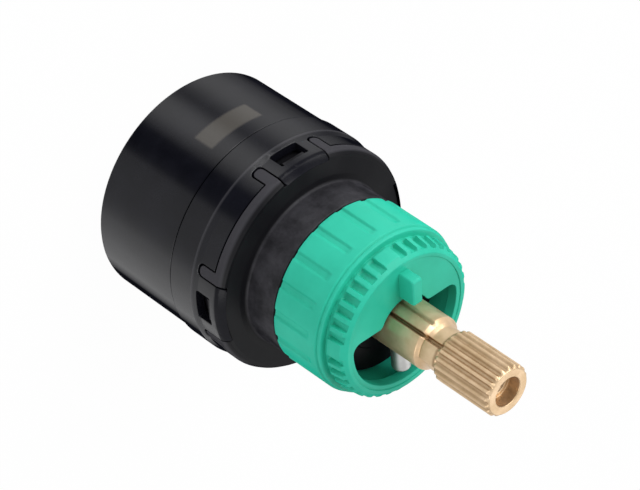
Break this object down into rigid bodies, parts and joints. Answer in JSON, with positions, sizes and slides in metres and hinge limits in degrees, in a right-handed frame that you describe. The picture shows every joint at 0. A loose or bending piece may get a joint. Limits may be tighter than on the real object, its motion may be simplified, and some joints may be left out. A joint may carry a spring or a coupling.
{
  "type": "diverter cartridge",
  "caption": "Round water diverter cartridge with ceramic discs, snap-hook housing, toothed green limit ring with a stop tab, and a splined brass spindle.",
  "frame": {"origin": "centre of the rear face, on the cartridge's axis", "axes": "+Z along the axis towards the spindle's splined end; -Y along the stop pin at rest; +X to the right outlet"},
  "size_m": [0.0454, 0.0454, 0.0831],
  "materials": {
    "black_plastic": "semi-gloss moulded black engineering plastic",
    "green_plastic": "satin moulded green acetal",
    "brass": "turned and broached, satin",
    "steel": "ground stainless dowel",
    "white_plastic": "moulded natural acetal",
    "ceramic": "lapped alumina",
    "rubber": "black elastomer"
  },
  "bodies": {
    "housing": {"rear_body": "black_plastic", "hook_housing": "black_plastic", "front_housing": "black_plastic", "guide_bush": "black_plastic", "fixed_disc": "ceramic", "rear_body_oring": "rubber", "front_housing_oring": "rubber", "seat_inlet_seal": "rubber", "seat_left_outlet_seal": "rubber", "seat_right_outlet_seal": "rubber", "rear_inlet_seal": "rubber", "rear_left_outlet_seal": "rubber", "rear_right_outlet_seal": "rubber"},
    "spindle": {"spindle": "brass", "stop_pin": "steel", "thrust_washer": "white_plastic", "disc_driver": "white_plastic", "moving_disc": "ceramic", "lower_spindle_oring": "rubber", "upper_spindle_oring": "rubber"},
    "limit_ring": {"limit_ring": "green_plastic"}
  },
  "joints": [
    {"name": "spindle_turn", "type": "hinge", "parent": "housing", "child": "spindle", "pos_m": [0, 0, 0], "axis": [0, 0, 1], "range_deg": [-90, 90]},
    {"name": "limit_ring_lift", "type": "slide", "parent": "housing", "child": "limit_ring", "axis": [0, 0, 1], "range_m": [0, 0.0067]}
  ]
}
